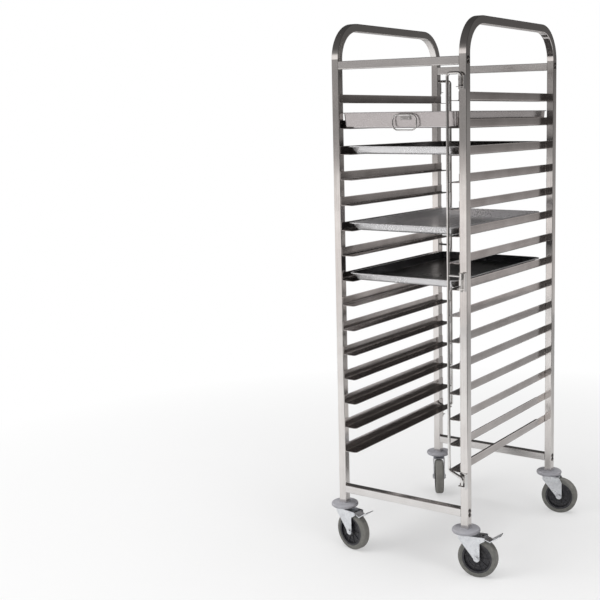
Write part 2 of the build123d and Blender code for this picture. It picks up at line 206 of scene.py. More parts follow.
trayFinish = {
    "outside": (0.90, 0.895, 0.905),
    "outsideShade": (0.85, 0.845, 0.855),
    "outsideRoughness": (0.20, 0.30),
    "insideRoughness": (0.24, 0.42),
    "inside": {               # tone of each tray's inside, set tray by tray
        "03": ((0.20, 0.195, 0.195), (0.10, 0.10, 0.10)),
        "06": ((0.74, 0.725, 0.735), (0.60, 0.59, 0.60)),
        "08": ((0.085, 0.085, 0.09), (0.035, 0.035, 0.038)),
        "pan": ((0.36, 0.345, 0.34), (0.25, 0.235, 0.23)),
    },
    "panOutside": (0.63, 0.60, 0.60),
    "panOutsideShade": (0.57, 0.54, 0.54),
    "metallic": {"outside": 0.62, "03": 0.95, "06": 0.50, "08": 1.0, "pan": 0.9},
    "pressScale": 260.0,
    "bakeScale": 7.0,
    "speckScale": 190.0,
    "speckDepth": 0.25,       # how dark the baked-on specks of an inside are
    "bumpDepth": 0.000005,
}


def makeSheetMetal(name, color, shade, roughness, metallic, speckDepth=0.0):
    # pressed sheet: long faint draw lines and broad clouds, with baked-on specks where asked for
    material, tree, shader = startMaterial(name, color, roughness[0], metallic)
    fine = trayFinish["pressScale"]
    press = grain(tree, (fine, fine * 0.05, fine), 4.0)
    cloud = grain(tree, (trayFinish["bakeScale"],) * 3, 7.0, 5.1)
    speck = grain(tree, (trayFinish["speckScale"],) * 3, 2.0, 2.2)
    tone = blendColors(tree, spread(tree, cloud, 0.0, 1.0), color, shade)
    spots = combine(tree, "MULTIPLY", spread(tree, speck, 0.0, 1.0, 0.70, 0.80), speckDepth)
    feed(
        tree, shader,
        color=blendColors(tree, spots, tone, [0.5 * value for value in shade]),
        roughness=spread(tree, combine(tree, "MULTIPLY", press, cloud), *roughness, 0.12, 0.4),
    )
    addBump(tree, shader, press, trayFinish["bumpDepth"], 0.5)
    return material


zincFinish = {
    "color": (0.88, 0.90, 0.93),
    "shade": (0.77, 0.79, 0.82),
    "roughness": (0.26, 0.42),
    "spangleScale": 160.0,
    "cloudScale": 55.0,
    "bumpDepth": 0.00003,
}


def makeZincSteel():
    finish = zincFinish
    material, tree, shader = startMaterial("zincSteel", finish["color"], 0.3, 1.0)
    spangle = addNode(tree, "TexVoronoi", {"Vector": objectPoint(tree), "Scale": finish["spangleScale"]})
    cell = addNode(tree, "SeparateXYZ", {0: spangle.outputs["Color"]}).outputs[0]
    cloud = grain(tree, (finish["cloudScale"],) * 3, 5.0)
    mixed = combine(tree, "MULTIPLY", combine(tree, "ADD", cell, cloud), 0.5)
    spangled = spread(tree, mixed, 0.0, 1.0, 0.25, 0.8)
    feed(
        tree, shader,
        color=blendColors(tree, spangled, finish["color"], finish["shade"]),
        roughness=spread(tree, mixed, *finish["roughness"], 0.2, 0.8),
    )
    addBump(tree, shader, mixed, finish["bumpDepth"], 0.5)
    return material


screwFinish = {
    "color": (0.34, 0.325, 0.315),
    "tarnish": (0.16, 0.135, 0.12),
    "roughness": (0.22, 0.45),
    "scale": 320.0,
    "bumpDepth": 0.00005,
}


def makeScrewSteel():
    finish = screwFinish
    material, tree, shader = startMaterial("screwSteel", finish["color"], 0.3, 1.0)
    patch = grain(tree, (finish["scale"],) * 3, 6.0)
    tarnished = spread(tree, patch, 0.0, 1.0, 0.4, 0.68)
    feed(
        tree, shader,
        color=blendColors(tree, tarnished, finish["color"], finish["tarnish"]),
        roughness=spread(tree, patch, *finish["roughness"]),
    )
    addBump(tree, shader, patch, finish["bumpDepth"], 0.6)
    return material


weldFinish = {
    "color": (0.55, 0.52, 0.50),
    "heat": (0.30, 0.24, 0.22),
    "roughness": (0.25, 0.5),
    "scale": 420.0,
    "bumpDepth": 0.0001,
}


def makeWeldMetal():
    finish = weldFinish
    material, tree, shader = startMaterial("weldMetal", finish["color"], 0.35, 1.0)
    patch = grain(tree, (finish["scale"],) * 3, 5.0)
    feed(
        tree, shader,
        color=blendColors(tree, spread(tree, patch, 0.0, 1.0, 0.4, 0.65), finish["color"], finish["heat"]),
        roughness=spread(tree, patch, *finish["roughness"]),
    )
    addBump(tree, shader, patch, finish["bumpDepth"], 0.6)
    return material


bumperFinish = {
    "color": (0.40, 0.40, 0.43),
    "dust": (0.50, 0.495, 0.52),
    "roughness": (0.42, 0.60),
    "pebbleScale": 700.0,
    "cloudScale": 38.0,
    "bumpDepth": 0.00012,
}


def makeBumperRubber():
    finish = bumperFinish
    material, tree, shader = startMaterial("bumperRubber", finish["color"], 0.5)
    shader.inputs["Specular IOR Level"].default_value = 0.45
    pebble = grain(tree, (finish["pebbleScale"],) * 3, 3.0)
    cloud = grain(tree, (finish["cloudScale"],) * 3, 6.0)
    feed(
        tree, shader,
        color=blendColors(tree, spread(tree, cloud, 0.0, 1.0, 0.42, 0.75), finish["color"], finish["dust"]),
        roughness=spread(tree, cloud, *finish["roughness"]),
    )
    addBump(tree, shader, pebble, finish["bumpDepth"], 0.5)
    return material


tyreFinish = {
    "color": (0.185, 0.185, 0.172),
    "tread": (0.235, 0.23, 0.215),
    "scuff": (0.30, 0.29, 0.27),
    "roughness": (0.50, 0.72),
    "treadStart": 0.93,       # share of the radius where the rolled surface begins
    "cloudScale": 60.0,
    "pebbleScale": 900.0,
    "bumpDepth": 0.00018,
}
hubFinish = {
    "color": (0.030, 0.030, 0.036),
    "dust": (0.075, 0.073, 0.075),
    "roughness": (0.30, 0.48),
    "ringPitch": 0.0042,
    "dustScale": 85.0,
    "pebbleScale": 800.0,
    "bumpDepth": 0.00035,
}


def wheelDistance(tree, centre, axle):
    # distance of each point from the axle line, which stays right as the wheel turns
    away = addNode(tree, "VectorMath", {0: objectPoint(tree), 1: centre}, operation="SUBTRACT").outputs[0]
    along = addNode(tree, "VectorMath", {0: away, 1: axle}, operation="DOT_PRODUCT").outputs["Value"]
    part = addNode(tree, "VectorMath", {0: axle, "Scale": along}, operation="SCALE").outputs[0]
    flat = addNode(tree, "VectorMath", {0: away, 1: part}, operation="SUBTRACT").outputs[0]
    return addNode(tree, "VectorMath", {0: flat}, operation="LENGTH").outputs["Value"]


def makeTyreRubber(corner, centre, axle, radius):
    finish = tyreFinish
    material, tree, shader = startMaterial("tyreRubber_" + corner, finish["color"], 0.6)
    shader.inputs["Specular IOR Level"].default_value = 0.35
    distance = wheelDistance(tree, centre, axle)
    tread = spread(tree, distance, 0.0, 1.0, finish["treadStart"] * radius, radius)
    cloud = grain(tree, (finish["cloudScale"],) * 3, 6.0)
    pebble = grain(tree, (finish["pebbleScale"],) * 3, 3.0)
    rolled = blendColors(tree, tread, finish["color"], finish["tread"])
    scuffed = combine(tree, "MULTIPLY", spread(tree, cloud, 0.0, 1.0, 0.45, 0.75), 0.6)
    feed(
        tree, shader,
        color=blendColors(tree, scuffed, rolled, finish["scuff"]),
        roughness=spread(tree, cloud, *finish["roughness"]),
    )
    addBump(tree, shader, pebble, finish["bumpDepth"], 0.5)
    return material


def makeHubPlastic(corner, centre, axle):
    finish = hubFinish
    material, tree, shader = startMaterial("hubPlastic_" + corner, finish["color"], 0.4)
    distance = wheelDistance(tree, centre, axle)
    turns = combine(tree, "DIVIDE", distance, finish["ringPitch"] / (2 * math.pi))
    ring = combine(tree, "SINE", turns, 0.0)
    dust = grain(tree, (finish["dustScale"],) * 3, 6.0)
    pebble = grain(tree, (finish["pebbleScale"],) * 3, 3.0)
    dusty = spread(tree, dust, 0.0, 1.0, 0.45, 0.8)
    feed(
        tree, shader,
        color=blendColors(tree, dusty, finish["color"], finish["dust"]),
        roughness=spread(tree, dust, *finish["roughness"]),
    )
    turned = combine(tree, "MULTIPLY", ring, 0.5)
    cast = combine(tree, "MULTIPLY", pebble, 0.25)
    addBump(tree, shader, combine(tree, "ADD", turned, cast), finish["bumpDepth"], 0.5)
    return material


tubeSteel = makeSteel("tubeSteel", "tube", "bent")
barSteel = makeSteel("barSteel", "bar", "x")
rodSteel = makeSteel("rodSteel", "rod", "z")
handleSteel = makeSteel("handleSteel", "rod", "x")
slideSteel = makeSlideSteel()
trayOutside = makeSheetMetal(
    "trayOutside", trayFinish["outside"], trayFinish["outsideShade"], trayFinish["outsideRoughness"],
    trayFinish["metallic"]["outside"],
)
panOutside = makeSheetMetal(
    "panOutside", trayFinish["panOutside"], trayFinish["panOutsideShade"], trayFinish["outsideRoughness"],
    trayFinish["metallic"]["pan"],
)
insideOf = {}
for key, tones in trayFinish["inside"].items():
    insideOf[key] = makeSheetMetal(
        "dishInside_" + key, *tones, trayFinish["insideRoughness"],
        trayFinish["metallic"][key], trayFinish["speckDepth"],
    )
zincSteel = makeZincSteel()
screwSteel = makeScrewSteel()
weldMetal = makeWeldMetal()
bumperRubber = makeBumperRubber()
print("materials made:", len(bpy.data.materials))


def skinRings(mesh, rings, loop=False, closed=True, caps=False, slotOf=None):
    # joins rings of points with quads; closed joins each ring's end to its start
    rows = [[mesh.verts.new(point) for point in ring] for ring in rings]
    count = len(rows[0])
    pairs = list(zip(rows, rows[1:]))
    if loop:
        pairs.append((rows[-1], rows[0]))
    for index, (first, second) in enumerate(pairs):
        for i in range(count if closed else count - 1):
            j = (i + 1) % count
            face = mesh.faces.new((first[i], first[j], second[j], second[i]))
            if slotOf:
                face.material_index = slotOf(index)
    if caps:
        for row, index in ((rows[0], 0), (rows[-1], len(pairs) - 1)):
            face = mesh.faces.new(row)
            if slotOf:
                face.material_index = slotOf(index)
    return rows


def finishPiece(name, mesh, materials, body, stands=(), sharpAngle=35.0):
    bmesh.ops.recalc_face_normals(mesh, faces=mesh.faces)
    data = bpy.data.meshes.new(name)
    mesh.to_mesh(data)
    mesh.free()
    for polygon in data.polygons:
        polygon.use_smooth = True
    data.set_sharp_from_angle(angle=math.radians(sharpAngle))
    piece = bpy.data.objects.new(name, data)
    bpy.context.scene.collection.objects.link(piece)
    for material in materials:
        data.materials.append(material)
    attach(piece, body)
    if stands:
        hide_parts(*stands)
    return piece


def dress(material, *names):
    for name in names:
        data = nodes[name].data
        data.materials.clear()
        data.materials.append(material)


def softLine(points, cut, steps=5):
    # a line whose inner corners are rounded, cut back by a distance on each side
    line = [Vector(points[0])]
    for before, corner, after in zip(points, points[1:], points[2:]):
        before, corner, after = Vector(before), Vector(corner), Vector(after)
        reach = min(cut, 0.45 * (before - corner).length, 0.45 * (after - corner).length)
        start = corner + reach * (before - corner).normalized()
        end = corner + reach * (after - corner).normalized()
        for k in range(steps + 1):
            t = k / steps
            line.append((1 - t) ** 2 * start + 2 * t * (1 - t) * corner + t * t * end)
    line.append(Vector(points[-1]))
    return line


def offsetLine(line, distance):
    # the same flat line moved sideways, to its left for a positive distance
    moved = []
    for i, point in enumerate(line):
        along = (line[min(i + 1, len(line) - 1)] - line[max(i - 1, 0)]).normalized()
        moved.append(point + distance * Vector((-along.y, along.x)))
    return moved


def latheRings(profile, sides, place):
    # profile is (radius, height) pairs, turned about the Z axis of a placing matrix
    rings = []
    for radius, height in profile:
        ring = []
        for k in range(sides):
            angle = 2 * math.pi * k / sides
            ring.append(place @ Vector((radius * math.cos(angle), radius * math.sin(angle), height)))
        rings.append(ring)
    return rings


def addTorus(mesh, place, radius, wire, sides=64, section=10):
    rings = []
    for k in range(section):
        angle = 2 * math.pi * k / section
        rings += latheRings([(radius + wire * math.cos(angle), wire * math.sin(angle))], sides, place)
    skinRings(mesh, rings, loop=True)


def addDome(mesh, place, radius, height, sides=20, steps=5):
    profile = [(radius, 0.0)]
    for k in range(1, steps + 1):
        angle = 0.5 * math.pi * k / (steps + 1)
        profile.append((radius * math.cos(angle), height * math.sin(angle)))
    skinRings(mesh, latheRings(profile, sides, place), caps=True)


def facing(place, direction):
    # a matrix at place whose Z axis points along direction
    return Matrix.Translation(place) @ Vector(direction).to_track_quat("Z", "Y").to_matrix().to_4x4()


slideShape = {
    "sheet": 0.0015,
    "ledge": 0.043,           # from the back of the web to the free edge
    "bend": 0.0045,           # how far the fold's rounding reaches along web and ledge
    "cornerRadius": 0.010,    # of the ledge's two free corners
    "cornerSteps": 7,
    "columns": 12,            # divisions along the slide
}


def makeSlidePair(tier):
    shape = slideShape
    low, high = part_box("slides_tier_" + tier)
    reach = shape["cornerRadius"]
    ledge = shape["ledge"]
    half = 0.5 * shape["sheet"]
    mesh = bmesh.new()
    edgeSteps = [reach * (1 - k / shape["cornerSteps"]) for k in range(1, shape["cornerSteps"] + 1)]
    corner = Vector((half, half))
    points = [Vector((half, high.z - low.z)), corner, Vector((ledge - reach, half))]
    line = softLine(points, shape["bend"])
    line += [Vector((ledge - edge, half)) for edge in edgeSteps]
    above, below = offsetLine(line, half), offsetLine(line, -half)
    section = above + below[::-1]
    length = 0.5 * (high.y - low.y)
    for side in (-1, 1):
        rings = []
        for k in range(shape["columns"] + 1):
            v = 2 * k / shape["columns"] - 1
            ring = []
            for point in section:
                beyond = max(0.0, point.x - (ledge - reach))
                cut = reach - math.sqrt(max(0.0, reach * reach - beyond * beyond))
                x = high.x - point.x if side > 0 else low.x + point.x
                ring.append(Vector((x, v * (length - cut), low.z + point.y)))
            rings.append(ring)
        rows = skinRings(mesh, rings)
        last = len(section) - 1
        for row in (rows[0], rows[-1]):
            for i in range(len(line) - 1):
                mesh.faces.new((row[i], row[i + 1], row[last - i - 1], row[last - i]))
    return finishPiece(
        "slidePair" + tier, mesh, [slideSteel], "frame", ["slides_tier_" + tier]
    )


for tier in allTiers:
    makeSlidePair(tier)
print("slides made:", len(allTiers))


weldShape = {
    "length": 0.020,
    "radius": 0.0014,
    "ripple": 0.22,
    "rippleCount": 9,
    "sink": 0.0004,           # how far its middle lies inside the web
    "sides": 8,
    "steps": 36,
}


def addWeld(mesh, centre, along, length):
    shape = weldShape
    rings = []
    across = Vector(along).cross(Vector((0, 0, 1)))
    if across.length < 0.5:
        across = Vector((1, 0, 0))
    up = Vector(along).cross(across)
    for k in range(shape["steps"] + 1):
        t = k / shape["steps"]
        taper = math.sqrt(max(0.02, 1 - (2 * t - 1) ** 6))
        wave = 1 - shape["ripple"] * abs(math.sin(math.pi * shape["rippleCount"] * t))
        radius = shape["radius"] * taper * wave
        middle = Vector(centre) + (t - 0.5) * length * Vector(along)
        ring = []
        for s in range(shape["sides"]):
            angle = 2 * math.pi * s / shape["sides"]
            ring.append(middle + radius * (math.cos(angle) * across + math.sin(angle) * up))
        rings.append(ring)
    skinRings(mesh, rings, caps=True)


def makeSlideWelds():
    mesh = bmesh.new()
    sink = weldShape["sink"]
    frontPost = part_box("crossbar_top_front")
    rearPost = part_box("crossbar_top_rear")
    middles = [0.5 * (low.y + high.y) for low, high in (frontPost, rearPost)]
    for tier in allTiers:
        low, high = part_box("slides_tier_" + tier)
        for x in (low.x + sink, high.x - sink):
            for y in middles:
                for z in (low.z + sink, high.z):
                    addWeld(mesh, (x, y, z), (0, 1, 0), weldShape["length"])
    return finishPiece("slideWelds", mesh, [weldMetal], "frame", sharpAngle=60)


makeSlideWelds()


trayShape = {
    "rimWidth": 0.009,
    "slope": 0.015,
    "corner": 0.030,
    "cornerShare": 0.69,      # how fast the corner radius shrinks towards the base
    "baseCut": 0.007,
    "roll": 0.0017,
}
panShape = {
    "rimWidth": 0.005,
    "slope": 0.004,
    "corner": 0.014,
    "cornerShare": 0.60,
    "baseCut": 0.005,
    "roll": 0.0015,
}
dishSheet = 0.0015
dishDetail = {
    "cornerSteps": 10,
    "sideSteps": 8,
    "rollSteps": 10,
    "smallestCorner": 0.006,
    "baseRings": (0.045, 0.09, 0.14),
}


def roundedOutline(centre, halfX, halfY, radius, height):
    # even spacing along the sides keeps the sheet's shading smooth
    points = []
    corner = dishDetail["cornerSteps"]
    side = dishDetail["sideSteps"]
    turns = (((1, 1), 0), ((-1, 1), 90), ((-1, -1), 180), ((1, -1), 270))
    for (signX, signY), start in turns:
        for k in range(corner + 1):
            angle = math.radians(start + 90 * k / corner)
            x = signX * (halfX - radius) + radius * math.cos(angle)
            y = signY * (halfY - radius) + radius * math.sin(angle)
            points.append(Vector((centre.x + x, centre.y + y, height)))
    filled = []
    for i, point in enumerate(points):
        filled.append(point)
        if (i + 1) % (corner + 1) == 0:
            following = points[(i + 1) % len(points)]
            filled += [point.lerp(following, k / side) for k in range(1, side)]
    return filled


def makeDish(name, node, shape, body, outside, inside):
    low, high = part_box(node)
    centre = 0.5 * (low + high)
    halfX = 0.5 * (high.x - low.x)
    halfY = 0.5 * (high.y - low.y)
    depth = high.z - low.z
    half = 0.5 * dishSheet
    roll = shape["roll"]
    wallFoot = shape["rimWidth"] + shape["slope"]
    # the sheet's middle line from the base out to the rim, as (inset, height)
    middle = softLine(
        [
            (wallFoot + dishDetail["baseRings"][0], half),
            (wallFoot, half),
            (shape["rimWidth"], depth - half),
            (2 * roll, depth - half),
        ],
        shape["baseCut"], 7,
    )
    upper = offsetLine(middle, -half)
    lower = offsetLine(middle, half)
    rollSteps = dishDetail["rollSteps"]
    rim = []
    for k in range(1, rollSteps):
        angle = math.radians(90 + 270 * k / rollSteps)
        inset = roll - roll * math.cos(math.pi - angle)
        rim.append(Vector((inset, depth - roll + roll * math.sin(angle))))
    inner = [Vector((wallFoot + inset, 2 * half)) for inset in dishDetail["baseRings"][:0:-1]]
    outer = [Vector((wallFoot + inset, 0.0)) for inset in dishDetail["baseRings"][1:]]
    profile = inner + upper + rim + lower[::-1] + outer
    insideCount = len(inner) + len(upper) - 3
    rings = []
    for inset, height in profile:
        radius = max(shape["corner"] - shape["cornerShare"] * inset, dishDetail["smallestCorner"])
        level = low.z + max(0.0, height)
        rings.append(roundedOutline(centre, halfX - inset, halfY - inset, radius, level))
    mesh = bmesh.new()
    skinRings(mesh, rings, caps=True, slotOf=lambda index: 1 if index < insideCount else 0)
    return finishPiece(name, mesh, [outside, inside], body, [node], 50)


for tier in trayTiers:
    node = "tray_tier_" + tier
    makeDish("bakingTray" + tier, node, trayShape, "tray_" + tier, trayOutside, insideOf[tier])
makeDish("deepPan", "pan", panShape, "pan", panOutside, insideOf["pan"])
print("trays and pan made")


boltShape = {
    "headRadius": 0.0055,
    "headHeight": 0.003,
    "socketRadius": 0.0026,
    "socketDepth": 0.0018,
    "washerRadius": 0.0072,
    "washerHeight": 0.0007,
    "shankRadius": 0.003,
    "shankLength": 0.029,
    "lift": 0.00005,          # keeps the washer off the post's face
    "domeSteps": 5,
    "domeAngle": 75.0,
    "spacing": 0.013,
    "sides": 36,
}


def addSocketBolt(mesh, place):
    shape = boltShape
    headRadius = shape["headRadius"]
    headHeight = shape["headHeight"]
    profile = [
        (shape["shankRadius"], -shape["shankLength"]),
        (shape["shankRadius"], shape["lift"]),
        (shape["washerRadius"], shape["lift"]),
        (shape["washerRadius"], shape["washerHeight"]),
        (headRadius, shape["washerHeight"]),
        (headRadius, 0.4 * headHeight),
    ]
    last = math.radians(shape["domeAngle"])
    for k in range(1, shape["domeSteps"] + 1):
        angle = last * k / shape["domeSteps"]
        radius = headRadius * (0.45 + 0.55 * math.cos(angle))
        profile.append((radius, headHeight * (0.4 + 0.6 * math.sin(angle) / math.sin(last))))
    rings = latheRings(profile, shape["sides"], place)
    for height in (shape["headHeight"], shape["headHeight"] - shape["socketDepth"]):
        ring = []
        for k in range(shape["sides"]):
            angle = 2 * math.pi * k / shape["sides"]
            fold = (angle + math.pi / 6) % (math.pi / 3) - math.pi / 6
            radius = shape["socketRadius"] * math.cos(math.pi / 6) / math.cos(fold)
            ring.append(place @ Vector((radius * math.cos(angle), radius * math.sin(angle), height)))
        rings.append(ring)
    skinRings(mesh, rings, caps=True)


def makeFrameBolts():
    mesh = bmesh.new()
    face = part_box("frame_bolts")[1].x - boltShape["headHeight"]
    for bar in ("crossbar_top_front", "crossbar_top_rear", "crossbar_low_front", "crossbar_low_rear"):
        barLow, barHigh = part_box(bar)
        middle = 0.5 * (barLow + barHigh)
        for side in (-1, 1):
            for offset in (-0.5, 0.5):
                spot = (side * face, middle.y, middle.z + offset * boltShape["spacing"])
                addSocketBolt(mesh, facing(spot, (side, 0, 0)))
    return finishPiece("socketBolts", mesh, [screwSteel], "frame", ["frame_bolts"])


makeFrameBolts()


rivetShape = {"radius": 0.0024, "height": 0.0012, "inset": 0.006, "rise": 0.005, "strap": 0.0015}


def makeClipRivets():
    mesh = bmesh.new()
    low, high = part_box("pan_handle_clip")
    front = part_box("pan")[0].y + panShape["rimWidth"] - rivetShape["strap"]
    for x in (low.x + rivetShape["inset"], high.x - rivetShape["inset"]):
        spot = (x, front, low.z + rivetShape["rise"])
        addDome(mesh, facing(spot, (0, -1, 0)), rivetShape["radius"], rivetShape["height"])
    return finishPiece("clipRivets", mesh, [handleSteel], "pan")


makeClipRivets()


collarShape = {
    "radius": 0.0052,
    "wire": 0.0009,
    "height": 0.0016,         # from the lower ring to the upper one
    "hingeX": 0.2245,         # hinge line, out from the middle of the rack
    "lowRise": 0.0056,        # above the foot of the rod
    "highDrop": 0.0428,       # below its top
}


def makeRodCollars(end, body):
    # push-on rings that sit on the ears of the brackets
    shape = collarShape
    mesh = bmesh.new()
    rodLow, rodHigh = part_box("latch_rod_" + end)
    side = 1 if end == "front" else -1
    x = side * shape["hingeX"]
    y = 0.5 * (rodLow.y + rodHigh.y)
    for z in (rodLow.z + shape["lowRise"], rodHigh.z - shape["highDrop"]):
        for rise in (0.0, shape["height"]):
            place = Matrix.Translation((x, y, z + rise))
            addTorus(mesh, place, shape["radius"], shape["wire"], 32, 8)
    return finishPiece("rodCollars_" + end, mesh, [screwSteel], body)


makeRodCollars("front", "front_latch")
makeRodCollars("rear", "rear_latch")


casterDetail = {
    "hubRings": ((0.0385, 0.0012), (0.0300, 0.0010), (0.0185, 0.0011)),
    "hubFace": 0.008,         # from the wheel's middle plane
    "ribCount": 10,
    "ribFrom": 0.0135,
    "ribTo": 0.0405,
    "ribSection": ((-0.0011, -0.0005), (-0.0007, 0.0022), (0.0007, 0.0022), (0.0011, -0.0005)),
    "mouldLine": 0.0005,
    "mouldFace": 0.0150,
    "mouldInsets": (0.0105, 0.0138),
    "washerFace": 0.0205,
    "washerRadius": 0.0098,
    "washerBore": 0.0052,
    "washerHeight": 0.0009,
    "washerLift": 0.0001,
    "washerEdge": 0.0003,
    "raceRadius": 0.0236,
    "raceWire": 0.0022,
    "raceRise": 0.0033,       # above the fork's plate
    "lipSide": 0.0126,        # half side of the bumper's soft lip around the post's foot
    "lipHeight": 0.003,
    "lipSink": 0.0006,
    "lipSteps": ((0.0, 0.0), (0.0022, 0.0), (0.0016, 0.8), (0.0008, 1.0), (0.0001, 1.0), (0.0001, 0.0)),
    "lipCorner": 0.0022,
}


def wheelPlace(corner):
    # centre of the wheel, and the direction of its axle, from the CAD pieces
    low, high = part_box("wheel_hub_" + corner)
    centre = 0.5 * (low + high)
    axle = nodes["wheel_axle_" + corner].data
    points = [vertex.co for vertex in axle.vertices]
    far = max(points, key=lambda point: (Vector(point) - centre).length)
    near = [point for point in points if (point - far).length < 0.03]
    middle = sum(near, Vector()) / len(near)
    direction = middle - centre
    direction.z = 0.0
    return centre, direction.normalized()


def makeHubRibs(corner, centre, axle, material):
    # rings and ribs on both faces of the hub
    detail = casterDetail
    mesh = bmesh.new()
    for side in (-1, 1):
        face = facing(centre + side * detail["hubFace"] * axle, side * axle)
        for ringRadius, wire in detail["hubRings"]:
            addTorus(mesh, face, ringRadius, wire, 72, 8)
        for k in range(detail["ribCount"]):
            turn = face @ Matrix.Rotation(2 * math.pi * k / detail["ribCount"], 4, "Z")
            rib = []
            for x in (detail["ribFrom"], detail["ribTo"]):
                rib.append([turn @ Vector((x, y, z)) for y, z in detail["ribSection"]])
            skinRings(mesh, rib, caps=True)
    finishPiece("hubRibs_" + corner, mesh, [material], "wheel_" + corner)


def makeTyreLines(corner, centre, axle, radius, material):
    # mould lines on the tyre's shoulders
    detail = casterDetail
    mesh = bmesh.new()
    for side in (-1, 1):
        face = facing(centre + side * detail["mouldFace"] * axle, side * axle)
        for inset in detail["mouldInsets"]:
            addTorus(mesh, face, radius - inset, detail["mouldLine"], 96, 6)
    finishPiece("tyreLines_" + corner, mesh, [material], "wheel_" + corner)


def makeAxleWashers(corner, centre, axle):
    # washers under the axle's head and nut
    detail = casterDetail
    bore, outer, height = detail["washerBore"], detail["washerRadius"], detail["washerHeight"]
    lift, edge = detail["washerLift"], detail["washerEdge"]
    profile = [(bore, lift), (outer, lift), (outer, 0.8 * height), (outer - edge, height), (bore, height)]
    mesh = bmesh.new()
    for side in (-1, 1):
        face = facing(centre + side * detail["washerFace"] * axle, side * axle)
        skinRings(mesh, latheRings(profile, 40, face), caps=True)
    finishPiece("axleWashers_" + corner, mesh, [zincSteel], "swivel_" + corner)


def makeBallRace(corner, post):
    # pressed bead of the ball race
    detail = casterDetail
    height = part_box("caster_fork_" + corner)[1].z + detail["raceRise"]
    race = Matrix.Translation((post.x, post.y, height))
    mesh = bmesh.new()
    addTorus(mesh, race, detail["raceRadius"], detail["raceWire"], 72, 12)
    finishPiece("ballRace_" + corner, mesh, [zincSteel], "frame")


def makeBumperLip(corner, post, top):
    # soft lip of the bumper around the post
    detail = casterDetail
    rings = []
    for grow, rise in detail["lipSteps"]:
        side = detail["lipSide"] + grow
        height = top - detail["lipSink"] + rise * detail["lipHeight"]
        rings.append(roundedOutline(post, side, side, detail["lipCorner"] + grow, height))
    mesh = bmesh.new()
    skinRings(mesh, rings, loop=True)
    finishPiece("bumperLip_" + corner, mesh, [bumperRubber], "frame")


def makeCasterDetails(corner):
    centre, axle = wheelPlace(corner)
    tyreLow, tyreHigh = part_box("wheel_tyre_" + corner)
    radius = 0.5 * (tyreHigh.z - tyreLow.z)
    tyreMaterial = makeTyreRubber(corner, centre, axle, radius)
    dress(tyreMaterial, "wheel_tyre_" + corner)
    hubMaterial = makeHubPlastic(corner, centre, axle)
    dress(hubMaterial, "wheel_hub_" + corner)
    bumperLow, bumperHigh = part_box("bumper_" + corner)
    post = 0.5 * (bumperLow + bumperHigh)
    makeHubRibs(corner, centre, axle, hubMaterial)
    makeTyreLines(corner, centre, axle, radius, tyreMaterial)
    makeAxleWashers(corner, centre, axle)
    makeBallRace(corner, post)
    makeBumperLip(corner, post, bumperHigh.z)


for corner in corners:
    makeCasterDetails(corner)
print("caster details made")


dress(tubeSteel, "hoop_left", "hoop_right")
dress(barSteel, "crossbar_top_front", "crossbar_top_rear", "crossbar_low_front", "crossbar_low_rear")
dress(rodSteel, "latch_rod_front", "latch_rod_rear", "latch_arm_front", "latch_arm_rear", "latch_brackets")
dress(handleSteel, "pan_handle", "pan_handle_clip")
dress(screwSteel, "latch_bracket_screws")
for corner in corners:
    dress(zincSteel, "caster_head_" + corner, "caster_fork_" + corner, "wheel_axle_" + corner)
    dress(bumperRubber, "bumper_" + corner)
for corner in brakedCorners:
    dress(zincSteel, "brake_pedal_" + corner)
print("CAD nodes dressed")


studio = {
    "floorRadius": 4.2,
    "floorColor": 0.86,
    "floorShadeBehind": 0.70,      # painted shade: how much darker it is behind the rack
    "floorRight": 0.16,       # and in reflections of its front right part
    "floorRings": (0.4, 0.8, 1.6, 3.0),
    "floorSides": 96,
    "shadeBehindEdge": (0.2, 2.2),     # where the painted shade behind the rack begins and ends, along Y
    "rightEdge": (1.9, 2.6),      # along X less Y
    "fadeEdge": (0.3, 2.4),       # where it fades into the backdrop, out from the rack
    "floorGlow": 0.45,        # how much of the plain backdrop shows through it up close
    "backdrop": 1.0,          # seen directly
    "keyPower": 80.0,
    "keySize": (2.6, 1.6),
    "keyPlace": (-2.8, -3.6, 3.0),
    "topPower": 390.0,
    "topSize": (7.0, 7.0),
    "topPlace": (0.2, -0.4, 6.0),
    "fillPower": 40.0,
    "fillSize": (2.4, 2.6),
    "fillPlace": (4.4, -2.0, 2.2),
    "aim": (0.0, 0.0, 0.85),
}
# what polished steel sees around the rack: (sine of the elevation, brightness)
surroundings = {
    "front": (
        (-1.0, 0.62), (-0.35, 0.68), (-0.20, 0.80), (-0.10, 0.98), (-0.055, 1.0), (-0.043, 0.27),
        (0.05, 0.30), (0.085, 0.55), (0.12, 1.0), (0.22, 0.95), (0.32, 0.25), (0.50, 0.11), (1.0, 0.07),
    ),
    "right": (
        (-1.0, 0.55), (-0.45, 0.40), (-0.30, 0.14), (-0.12, 0.07), (0.0, 0.06), (0.3, 0.07), (1.0, 0.06),
    ),
    "rear": (
        (-1.0, 0.62), (-0.30, 0.56), (-0.15, 0.52), (-0.08, 0.37), (-0.05, 0.29), (0.0, 0.23), (0.05, 0.12),
        (0.12, 0.08), (0.30, 0.06), (0.6, 0.06), (1.0, 0.05),
    ),
    "tint": (1.0, 0.968, 0.955),
    "rearEdge": (-0.25, 0.45),    # where the front turns into the rear, along Y
    "rightEdge": (0.05, 0.35),    # where the bright left turns into the dim right, along X
}


